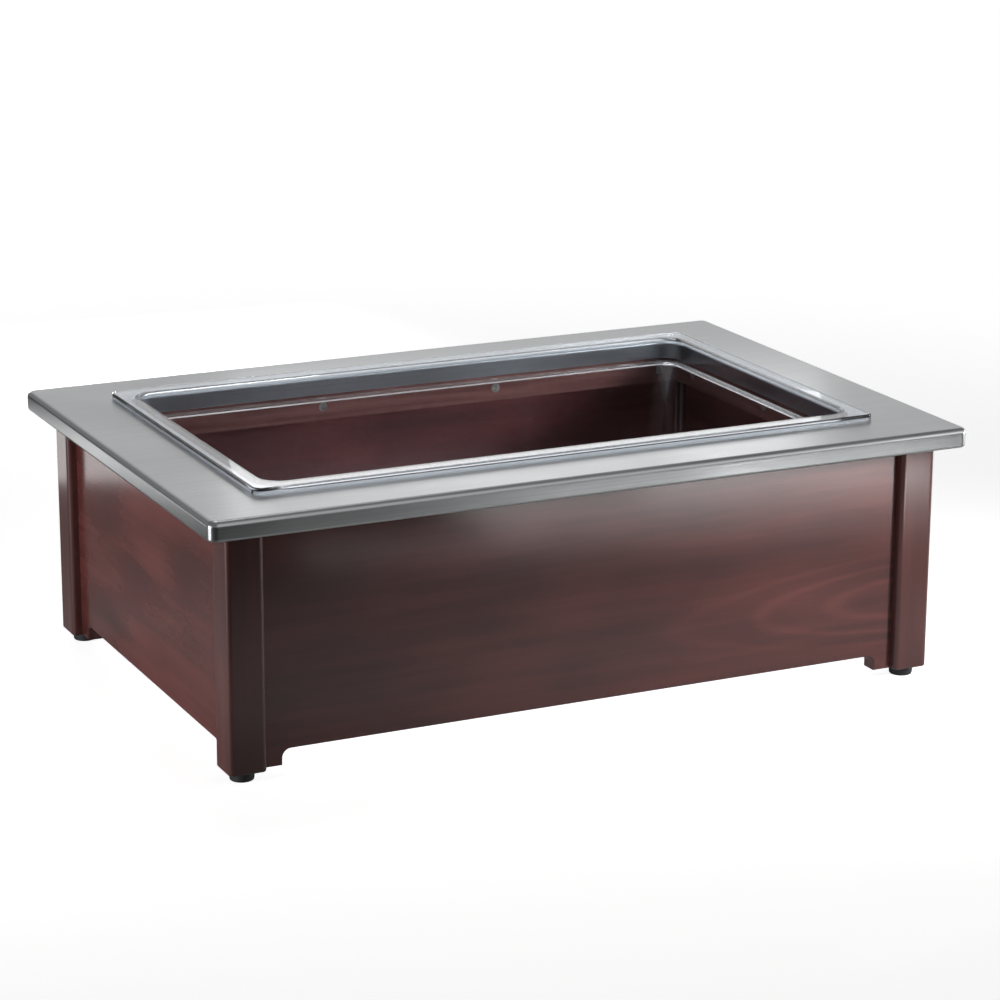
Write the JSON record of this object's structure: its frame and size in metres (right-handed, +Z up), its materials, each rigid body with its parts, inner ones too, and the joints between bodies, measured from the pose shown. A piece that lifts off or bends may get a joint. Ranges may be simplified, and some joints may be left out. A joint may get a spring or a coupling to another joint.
{
  "type": "ice housing food pan",
  "caption": "Buffet ice housing: a clear rectangular food pan hangs by its rim in a steel-skinned top on a dark stained wood carcass of corner posts and set-back panels.",
  "frame": {"origin": "on the floor, under the middle of the top", "axes": "+X along the long side to the right seen from the front, +Y towards the back, +Z up"},
  "size_m": [0.64, 0.43, 0.215],
  "materials": {
    "stained_wood": "dark mahogany stain under satin lacquer",
    "brushed_stainless": "satin brushed along the length",
    "clear_polycarbonate": "clear, moulded, glossy",
    "plywood_core": "bare plywood",
    "cleat_wood": "planed softwood under the same dark stain, not lacquered",
    "dowel_beech": "bare turned beech",
    "foot_rubber": "moulded, matt",
    "zinc_screws": "zinc plated"
  },
  "bodies": {
    "housing": {"steel_top": "brushed_stainless", "core_front": "plywood_core", "core_back": "plywood_core", "core_left": "plywood_core", "core_right": "plywood_core", "panel_front": "stained_wood", "panel_back": "stained_wood", "panel_left": "stained_wood", "panel_right": "stained_wood", "cleat_front": "cleat_wood", "cleat_back": "cleat_wood", "cleat_left": "cleat_wood", "cleat_right": "cleat_wood", "post_front_left": "stained_wood", "post_front_right": "stained_wood", "post_back_left": "stained_wood", "post_back_right": "stained_wood", "foot_front_left": "foot_rubber", "foot_front_right": "foot_rubber", "foot_back_left": "foot_rubber", "foot_back_right": "foot_rubber", "panel_dowels": "dowel_beech", "core_dowels": "dowel_beech", "cleat_screws": "zinc_screws", "top_screws": "zinc_screws", "foot_washers": "zinc_screws", "foot_screws": "zinc_screws"},
    "pan": {"food_pan": "clear_polycarbonate"}
  },
  "joints": [
    {"name": "pan_lift", "type": "slide", "parent": "housing", "child": "pan", "axis": [0, 0, 1], "range_m": [0, 0.18]}
  ]
}
